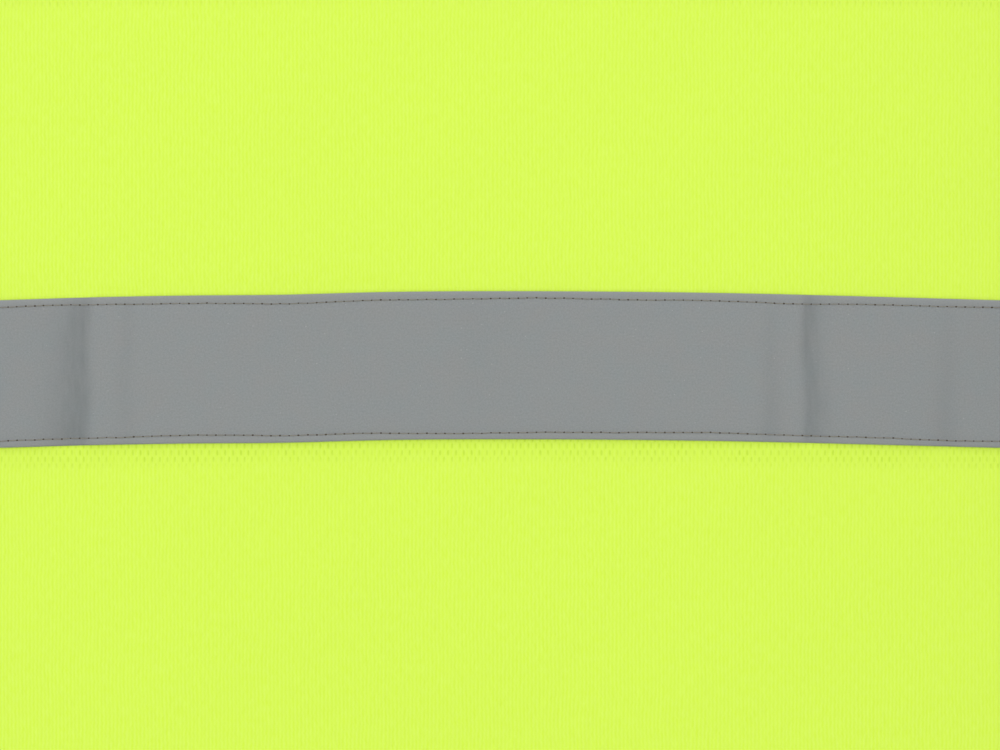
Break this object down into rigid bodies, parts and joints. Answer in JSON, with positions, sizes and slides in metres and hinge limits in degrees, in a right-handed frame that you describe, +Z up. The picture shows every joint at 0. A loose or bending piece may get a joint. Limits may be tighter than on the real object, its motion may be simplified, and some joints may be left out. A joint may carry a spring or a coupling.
{
  "type": "high-visibility vest",
  "caption": "Sleeveless V-neck safety vest in fluorescent knit with reflective tape bands, bound edges, open-ended front zip and a flapped pen pocket.",
  "frame": {"origin": "midway between the two points where the shoulder seams meet the neck", "axes": "+Z up, the wearer faces -Y, +X to the wearer's left"},
  "size_m": [0.4936, 0.2349, 0.6828],
  "materials": {
    "knit_polyester": "warp-knitted polyester, matt, fluorescent yellow",
    "reflective_tape": "glass-bead retroreflective coating on woven polyester, satin grey",
    "woven_binding": "woven polyester ribbon, fluorescent yellow",
    "zip_cloth": "woven polyester zip tape, fluorescent yellow",
    "zip_moulding": "acetal, dark grey, semi-matt",
    "zip_metal": "nickel-plated zinc casting",
    "hook_and_loop": "nylon hook and loop, fluorescent yellow",
    "label_cloth": "white satin-weave polyester, blank"
  },
  "bodies": {
    "body": {"back_panel": "knit_polyester", "left_front_side": "knit_polyester", "right_front_side": "knit_polyester", "back_upper_tape": "reflective_tape", "back_lower_tape": "reflective_tape", "left_upper_tape_side": "reflective_tape", "right_upper_tape_side": "reflective_tape", "left_lower_tape_side": "reflective_tape", "right_lower_tape_side": "reflective_tape", "left_shoulder_tape": "reflective_tape", "right_shoulder_tape": "reflective_tape", "left_armhole_binding": "woven_binding", "right_armhole_binding": "woven_binding", "neck_binding": "woven_binding", "hem_binding": "woven_binding", "neck_label": "label_cloth", "care_label": "label_cloth"},
    "left_front": {"left_front_edge": "knit_polyester", "left_upper_tape_edge": "reflective_tape", "left_lower_tape_edge": "reflective_tape", "left_neck_binding_edge": "woven_binding", "left_hem_binding_edge": "woven_binding", "left_zip_tape": "zip_cloth", "left_zip_teeth": "zip_moulding", "left_top_stop": "zip_moulding", "retainer_box": "zip_moulding", "pen_pocket": "knit_polyester", "loop_patch": "hook_and_loop"},
    "right_front": {"right_front_edge": "knit_polyester", "right_upper_tape_edge": "reflective_tape", "right_lower_tape_edge": "reflective_tape", "right_neck_binding_edge": "woven_binding", "right_hem_binding_edge": "woven_binding", "right_zip_tape": "zip_cloth", "right_zip_teeth": "zip_moulding", "right_top_stop": "zip_moulding", "insertion_pin": "zip_moulding"},
    "slider": {"zip_slider": "zip_metal"},
    "pull": {"zip_pull": "zip_metal"},
    "flap": {"pocket_flap": "knit_polyester", "hook_patch": "hook_and_loop"},
    "loop": {"hanger_loop": "woven_binding"}
  },
  "joints": [
    {"name": "left_front_swing", "type": "hinge", "parent": "body", "child": "left_front", "pos_m": [0.042, -0.1109, -0.096], "axis": [-0.2278, 0, 0.9737], "range_deg": [0, 80]},
    {"name": "right_front_swing", "type": "hinge", "parent": "body", "child": "right_front", "pos_m": [-0.042, -0.1109, -0.096], "axis": [-0.2278, 0, -0.9737], "range_deg": [0, 80]},
    {"name": "zip_slider_travel", "type": "slide", "parent": "left_front", "child": "slider", "axis": [0, 0, 1], "range_m": [0, 0.4338]},
    {"name": "zip_pull_swing", "type": "hinge", "parent": "slider", "child": "pull", "pos_m": [0.00295, -0.1126, -0.6517], "axis": [-1, 0, 0], "range_deg": [0, 165]},
    {"name": "pocket_flap_lift", "type": "hinge", "parent": "left_front", "child": "flap", "pos_m": [0.047, -0.111, -0.245], "axis": [-1, 0, 0], "range_deg": [0, 85]},
    {"name": "hanger_loop_swing", "type": "hinge", "parent": "body", "child": "loop", "pos_m": [0, 0.05371, -0.02477], "axis": [-1, 0, 0], "range_deg": [0, 100]}
  ]
}
